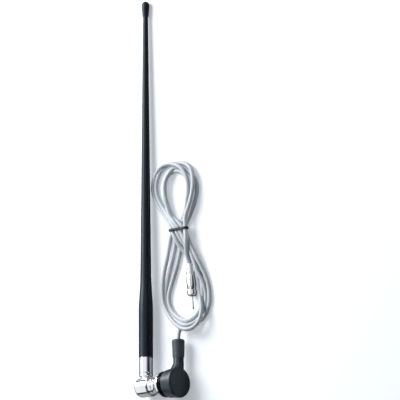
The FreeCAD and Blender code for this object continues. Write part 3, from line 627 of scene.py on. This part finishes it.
class ANTENNA_OT_cable_tie(bpy.types.Operator):
    """Draw the toothed tie round the coil's waist"""
    bl_idname = "antenna.cable_tie"
    bl_label = "Cable tie"

    def execute(self, context):
        settings = context.scene.antenna_lead
        low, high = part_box("cable_tie")
        middle = (low.y + high.y) / 2
        half_thick = settings.tie_thickness / 2
        outline = tie_outline(strands_in_tie(), settings.diameter / 2 + half_thick)
        mesh = band_mesh(outline, band_section(settings.tie_width / 2, half_thick), middle)
        material = plastic_material("black tie plastic", TIE_BLACK, rough=0.45, grain=0.1)
        mesh.materials.append(material)
        points, directions = tooth_seeds(outline, settings, middle)
        teeth = teeth_mesh(points, directions, {
            "Tooth length": settings.tie_tooth_pitch / 2,
            "Tooth width": settings.tie_width * TOOTH_SHARE,
            "Tooth height": settings.tie_tooth_height * 2,
            "Material": material,
        })
        outward_faces(mesh, teeth)
        tie = bpy.data.objects.new("tie_band", mesh)
        context.scene.collection.objects.link(tie)
        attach(tie, "base")
        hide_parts("cable_tie")
        return {"FINISHED"}


# The antenna's own pieces

class ANTENNA_OT_mast(bpy.types.Operator):
    """Finish the rubber mast, its tip and the rod inside"""
    bl_idname = "antenna.mast"
    bl_label = "Mast"

    def execute(self, context):
        colours = context.scene.antenna_finish
        dress("mast_jacket", rubber_material("mast rubber", colours.rubber, rough=0.3, grain=0.12))
        dress("tip_cap", rubber_material("tip rubber", colours.rubber, rough=0.3, grain=0.06))
        dress("whip_rod", plated_material("spring steel", SPRING_STEEL, rough=0.3, stretch=(1, 0.1, 1)))
        return {"FINISHED"}


class ANTENNA_OT_fittings(bpy.types.Operator):
    """Finish the chromed ferrule, head and flange, and the fasteners"""
    bl_idname = "antenna.fittings"
    bl_label = "Chromed fittings"

    def execute(self, context):
        chrome = plated_material("chrome plate", context.scene.antenna_finish.chrome, rough=0.07)
        for node in ("mast_ferrule", "swivel_head", "base_flange"):
            dress(node, chrome)
        zinc = plated_material("zinc plate", ZINC, rough=0.32)
        for node in ("mast_stud", "pivot_screw", "earth_washer", "clamp_nut"):
            dress(node, zinc)
        dress("cup_washer", plated_material("washer steel", WASHER_STEEL, rough=0.3))
        dress("friction_washer", plastic_material("washer plastic", WASHER_BLACK, rough=0.4, grain=0.05))
        return {"FINISHED"}


class ANTENNA_OT_mounting(bpy.types.Operator):
    """Finish the stem, bush, gasket, rear housing and what it holds"""
    bl_idname = "antenna.mounting"
    bl_label = "Mounting and rear housing"

    def execute(self, context):
        colours = context.scene.antenna_finish
        housing = plastic_material("housing plastic", colours.housing, rough=0.28, grain=0.12, ior=1.65)
        dress("rear_housing", housing)
        gasket = rubber_material("gasket rubber", GASKET_BLACK, rough=0.12, grain=0.02, ior=1.12)
        dress("panel_gasket", gasket)
        dress("insulating_bush", plastic_material("bush nylon", NYLON, rough=0.45, grain=0.05))
        brass = plated_material("brass", BRASS, rough=0.25)
        for node in ("threaded_stem", "solder_tag", "braid_crimp"):
            dress(node, brass)
        dress("lead_core", plated_material("copper", COPPER, rough=0.25))
        dress("lead_inner", sheath_material("inner lead vinyl", context.scene.antenna_lead.sheath_colour))
        dress("lead_boot", rubber_material("boot rubber", colours.boot, rough=0.4, grain=0.2, ior=1.45))
        return {"FINISHED"}


class ANTENNA_OT_plug(bpy.types.Operator):
    """Finish the plated aerial plug"""
    bl_idname = "antenna.plug"
    bl_label = "Aerial plug"

    def execute(self, context):
        nickel = plated_material("nickel plate", context.scene.antenna_finish.nickel, rough=0.1)
        for node in ("plug_body", "plug_spring", "plug_collar"):
            dress(node, nickel)
        dress("plug_pin", plated_material("darker pin nickel", DARKER_PIN_NICKEL, rough=0.3))
        dress("plug_insulator", plastic_material("plug insulator", INSULATOR_BLACK, rough=0.5, grain=0.05))
        return {"FINISHED"}


# The studio

def paper_material(colour):
    """The floor's paper: matt, lit up a little to the camera, and darker in reflections."""
    material, tree, shader = new_material("studio paper")
    path = tree.nodes.new("ShaderNodeLightPath")
    paper = two_colours(tree, path.outputs["Is Glossy Ray"], colour, shade(colour, MIRRORED_FLOOR))
    glow = ranged(tree, path.outputs["Is Camera Ray"], 0, FLOOR_GLOW, from_low=0, from_high=1)
    tree.links.new(paper, shader.inputs["Base Color"])
    shader.inputs["Roughness"].default_value = FLOOR_ROUGHNESS
    shader.inputs["Specular IOR Level"].default_value = FLOOR_SPECULAR
    shader.inputs["Emission Color"].default_value = (*FLOOR_GLOW_COLOUR, 1)
    tree.links.new(glow, shader.inputs["Emission Strength"])
    return material


def floor_object(colour):
    """A large square of paper, just under everything."""
    half = FLOOR_HALF
    corners = [(-half, -half, FLOOR_HEIGHT), (half, -half, FLOOR_HEIGHT),
               (half, half, FLOOR_HEIGHT), (-half, half, FLOOR_HEIGHT)]
    mesh = bpy.data.meshes.new("floor")
    mesh.from_pydata(corners, [], [(0, 1, 2, 3)])
    mesh.materials.append(paper_material(colour))
    floor = bpy.data.objects.new("floor", mesh)
    bpy.context.scene.collection.objects.link(floor)
    return floor


def area_lamp(name, place, size, colour, power):
    """A soft lamp that points at the origin and isn't seen by the camera."""
    data = bpy.data.lights.new(name, "AREA")
    data.shape = "RECTANGLE"
    data.size, data.size_y = size
    data.color = colour
    data.energy = power
    lamp = bpy.data.objects.new(name, data)
    lamp.location = place
    lamp.rotation_euler = (-Vector(place)).to_track_quat("-Z", "Y").to_euler()
    lamp.visible_camera = False
    bpy.context.scene.collection.objects.link(lamp)


def cosine(tree, direction, target):
    """The cosine of the angle between a direction and a target's."""
    towards = tree.nodes.new("ShaderNodeVectorMath")
    towards.operation = "DOT_PRODUCT"
    towards.inputs[1].default_value = target.normalized()
    tree.links.new(direction, towards.inputs[0])
    return towards.outputs["Value"]


def combined(tree, operation, first, second):
    """Two values, multiplied or otherwise combined by a Math node."""
    node = tree.nodes.new("ShaderNodeMath")
    node.operation = operation
    tree.links.new(first, node.inputs[0])
    tree.links.new(second, node.inputs[1])
    return node.outputs["Value"]


def mirrored_room(tree):
    """How bright reflections show the room: less on the dark side, at the horizon and at the camera."""
    direction = tree.nodes.new("ShaderNodeTexCoord").outputs["Generated"]
    wall = ranged(tree, cosine(tree, direction, BRIGHT_SIDE), DARK_WALL, 1, *WALL_RANGE)
    ceiling = ranged(tree, cosine(tree, direction, STRAIGHT_UP), HORIZON, 1, *CEILING_RANGE)
    gap = ranged(tree, cosine(tree, direction, TO_CAMERA), 1, CAMERA_GAP, *GAP_RANGE)
    return combined(tree, "MULTIPLY", wall, combined(tree, "MULTIPLY", ceiling, gap))


def room(ambient):
    """A bluish white room: even light on the pieces, white to the camera, and uneven in reflections."""
    world = bpy.data.worlds.new("room")
    world.use_nodes = True
    tree = world.node_tree
    background = tree.nodes["Background"]
    background.inputs["Color"].default_value = (*ROOM_COLOUR, 1)
    path = tree.nodes.new("ShaderNodeLightPath")
    lit = tree.nodes.new("ShaderNodeMix")
    lit.inputs["A"].default_value = ambient
    tree.links.new(path.outputs["Is Glossy Ray"], lit.inputs["Factor"])
    tree.links.new(mirrored_room(tree), lit.inputs["B"])
    seen = combined(tree, "MAXIMUM", path.outputs["Is Camera Ray"], path.outputs["Is Transmission Ray"])
    shown = tree.nodes.new("ShaderNodeMix")
    shown.inputs["B"].default_value = 1.0
    tree.links.new(seen, shown.inputs["Factor"])
    tree.links.new(lit.outputs["Result"], shown.inputs["A"])
    tree.links.new(shown.outputs["Result"], background.inputs["Strength"])
    return world


def photo_camera():
    """The camera that sees the antenna as the photograph does."""
    data = bpy.data.cameras.new("camera")
    data.sensor_width = SENSOR_WIDTH
    data.lens = SENSOR_WIDTH * CAMERA_DISTANCE / VIEW_WIDTH
    data.clip_start, data.clip_end = CAMERA_CLIP
    camera = bpy.data.objects.new("camera", data)
    bpy.context.scene.collection.objects.link(camera)
    right = PICTURE_RIGHT.normalized()
    back = (TO_CAMERA - TO_CAMERA.dot(right) * right).normalized()
    up = back.cross(right)
    turn = Matrix((right, up, back)).transposed().to_4x4()
    camera.matrix_world = Matrix.Translation(VIEW_CENTRE + CAMERA_DISTANCE * back) @ turn
    return camera


class ANTENNA_OT_studio(bpy.types.Operator):
    """Set up the floor, lamps and camera"""
    bl_idname = "antenna.studio"
    bl_label = "Studio"

    def execute(self, context):
        scene = context.scene
        settings = scene.antenna_studio
        floor = floor_object(settings.floor_colour)
        scene.world = room(settings.ambient)
        area_lamp("key", KEY_PLACE, KEY_SIZE, KEY_COLOUR, settings.key_power)
        area_lamp("fill", FILL_PLACE, FILL_SIZE, FILL_COLOUR, settings.fill_power)
        scene.camera = photo_camera()
        scene.view_settings.view_transform = "Standard"
        return {"FINISHED"}


OPERATORS = (
    ANTENNA_OT_studio,
    ANTENNA_OT_coax_lead,
    ANTENNA_OT_cable_tie,
    ANTENNA_OT_mast,
    ANTENNA_OT_fittings,
    ANTENNA_OT_mounting,
    ANTENNA_OT_plug,
)


class ANTENNA_PT_sidebar(bpy.types.Panel):
    """The antenna's pieces, in the order they are made"""
    bl_idname = "ANTENNA_PT_sidebar"
    bl_label = "Car antenna"
    bl_space_type = "VIEW_3D"
    bl_region_type = "UI"
    bl_category = "Antenna"

    def draw(self, context):
        column = self.layout.column()
        for operator in OPERATORS:
            column.operator(operator.bl_idname)
        for settings in (context.scene.antenna_lead, context.scene.antenna_finish,
                         context.scene.antenna_studio):
            box = self.layout.box()
            for name in settings.__annotations__:
                box.prop(settings, name)


CLASSES = (LeadSettings, FinishSettings, StudioSettings) + OPERATORS + (ANTENNA_PT_sidebar,)


def register():
    """Registers the classes and the scene's settings."""
    for item in CLASSES:
        bpy.utils.register_class(item)
    bpy.types.Scene.antenna_lead = PointerProperty(type=LeadSettings)
    bpy.types.Scene.antenna_finish = PointerProperty(type=FinishSettings)
    bpy.types.Scene.antenna_studio = PointerProperty(type=StudioSettings)


def unregister():
    """Removes the settings and the classes again."""
    del bpy.types.Scene.antenna_lead
    del bpy.types.Scene.antenna_finish
    del bpy.types.Scene.antenna_studio
    for item in reversed(CLASSES):
        bpy.utils.unregister_class(item)


def main():
    """Makes the antenna's looks in order."""
    register()
    bpy.ops.antenna.studio()
    bpy.ops.antenna.coax_lead()
    bpy.ops.antenna.cable_tie()
    bpy.ops.antenna.mast()
    bpy.ops.antenna.fittings()
    bpy.ops.antenna.mounting()
    bpy.ops.antenna.plug()


if __name__ == "__main__":
    main()
